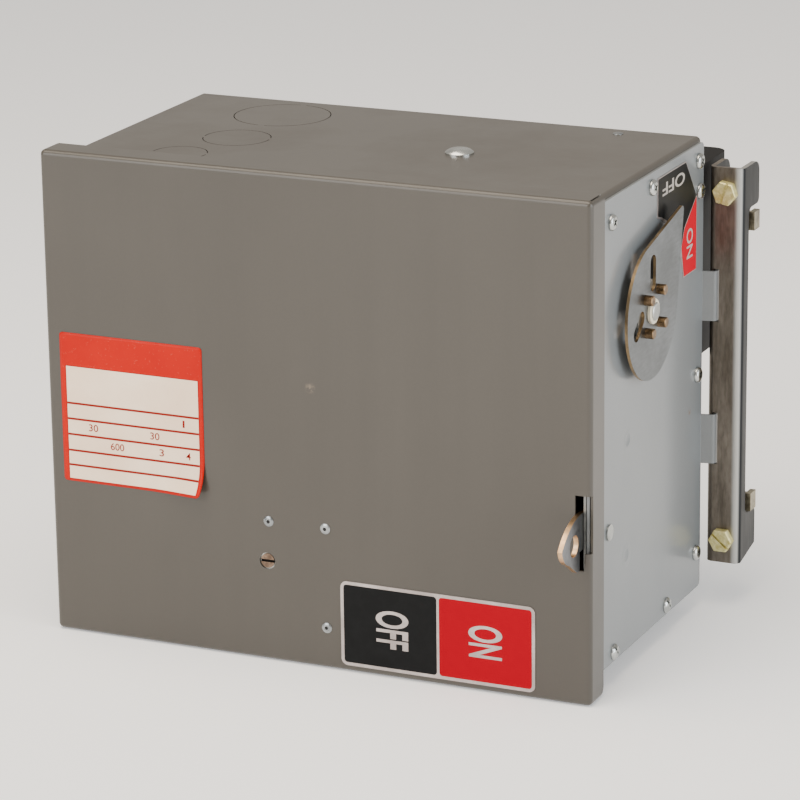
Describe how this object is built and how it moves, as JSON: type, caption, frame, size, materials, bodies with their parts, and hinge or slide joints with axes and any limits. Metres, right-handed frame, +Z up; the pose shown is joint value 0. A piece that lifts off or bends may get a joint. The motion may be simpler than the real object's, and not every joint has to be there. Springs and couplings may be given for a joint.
{
  "type": "busway tap off box",
  "caption": "Steel tap off box with a hinged cover, a side pointer handle, a padlock hook, conduit knockouts and a clamp channel that holds it on a busway.",
  "frame": {"origin": "centre of the back plate's rear face, which seats on the busway", "axes": "+X to the right seen from the cover, +Y from the cover to the busway, +Z up"},
  "size_m": [0.3136, 0.2378, 0.2514],
  "materials": {
    "case_paint": "satin grey paint",
    "zinc_steel": "zinc plated",
    "yellow_zinc": "yellow zinc plated",
    "channel_steel": "worn dark plating",
    "copper": "bright copper",
    "tinned_copper": "tinned copper",
    "bronze": "dull bronze",
    "moulding": "black thermoset moulding",
    "bearing_plastic": "natural nylon",
    "ivory_plastic": "ivory plastic",
    "legend_plastic": "printed black and red film",
    "label_print": "printed film",
    "switch_plate_foil": "printed foil",
    "fuse_paper": "fibre tube",
    "lug_aluminium": "tin plated"
  },
  "bodies": {
    "enclosure": {"enclosure_wrap": "case_paint", "side_panel": "case_paint", "back_plate": "case_paint", "panel_screws": "zinc_steel", "bottom_screws": "zinc_steel", "top_screw": "case_paint", "hinge_box_leaves": "zinc_steel", "hinge_pins": "zinc_steel", "position_legend": "legend_plastic", "mechanism_plate": "zinc_steel", "hook_rivet": "zinc_steel", "shaft_bearing": "bearing_plastic", "switch_base": "moulding", "base_screws": "zinc_steel", "line_strap_1": "copper", "line_strap_2": "copper", "line_strap_3": "copper", "load_strap_1": "copper", "load_strap_2": "copper", "load_strap_3": "copper", "neutral_strap": "copper", "fuse_block": "moulding", "fuse_clips": "copper", "fuse_tubes": "fuse_paper", "fuse_ferrules": "copper", "wire_lugs": "lug_aluminium", "lug_screws": "zinc_steel", "stab_block": "moulding", "stab_1": "tinned_copper", "stab_2": "tinned_copper", "stab_3": "tinned_copper", "stab_neutral": "tinned_copper", "stab_rivets": "copper", "block_screws": "zinc_steel", "busway_hook_lower": "zinc_steel", "busway_hook_upper": "zinc_steel", "case_rivets": "zinc_steel", "clamp_channel": "channel_steel"},
    "cover": {"cover": "case_paint", "hinge_cover_leaves": "zinc_steel", "release_plate": "zinc_steel", "cover_rivets": "zinc_steel", "rating_label": "label_print", "switch_label": "switch_plate_foil"},
    "cover_release": {"release_screw": "zinc_steel", "release_arm": "zinc_steel"},
    "switch_rotor": {"pointer_plate": "zinc_steel", "pointer_hub": "zinc_steel", "drive_studs": "bronze", "centre_washer": "ivory_plastic", "switch_shaft": "zinc_steel", "crossbar": "moulding", "moving_blade_1": "copper", "moving_blade_2": "copper", "moving_blade_3": "copper"},
    "padlock_hook": {"padlock_hook": "yellow_zinc"},
    "upper_clamp_bolt": {"clamp_bolt_upper": "yellow_zinc"},
    "lower_clamp_bolt": {"clamp_bolt_lower": "yellow_zinc"},
    "upper_clamp_jaw": {"clamp_jaw_upper": "channel_steel"},
    "lower_clamp_jaw": {"clamp_jaw_lower": "channel_steel"}
  },
  "joints": [
    {"name": "cover_hinge", "type": "hinge", "parent": "enclosure", "child": "cover", "pos_m": [-0.1436, -0.1369, -0.003], "axis": [0, 0, -1], "range_deg": [0, 110]},
    {"name": "release_turn", "type": "hinge", "parent": "cover", "child": "cover_release", "pos_m": [-0.0298, -0.155, -0.0765], "axis": [0, 1, 0], "range_deg": [0, 90]},
    {"name": "switch_throw", "type": "hinge", "parent": "enclosure", "child": "switch_rotor", "pos_m": [0.076, -0.086, 0.0525], "axis": [-1, 0, 0], "range_deg": [0, 32]},
    {"name": "hook_lift", "type": "hinge", "parent": "enclosure", "child": "padlock_hook", "pos_m": [0.1364, -0.1281, -0.0484], "axis": [-1, 0, 0], "range_deg": [0, 10], "stiffness_Nm_per_rad": 0.05, "springref_deg": -17.19},
    {"name": "upper_bolt_turn", "type": "hinge", "parent": "enclosure", "child": "upper_clamp_bolt", "pos_m": [0.1521, 0.004, 0.0915], "axis": [0, -1, 0], "range_deg": [0, 1440]},
    {"name": "upper_jaw_slide", "type": "slide", "parent": "enclosure", "child": "upper_clamp_jaw", "axis": [0, 1, 0], "range_m": [0, 0.00508]},
    {"name": "lower_bolt_turn", "type": "hinge", "parent": "enclosure", "child": "lower_clamp_bolt", "pos_m": [0.1521, 0.004, -0.0923], "axis": [0, -1, 0], "range_deg": [0, 1440]},
    {"name": "lower_jaw_slide", "type": "slide", "parent": "enclosure", "child": "lower_clamp_jaw", "axis": [0, 1, 0], "range_m": [0, 0.00508]}
  ],
  "couplings": [
    {"joint": "upper_bolt_turn", "follows": "upper_jaw_slide", "rad_per_m": 4947.4},
    {"joint": "lower_bolt_turn", "follows": "lower_jaw_slide", "rad_per_m": 4947.4}
  ]
}
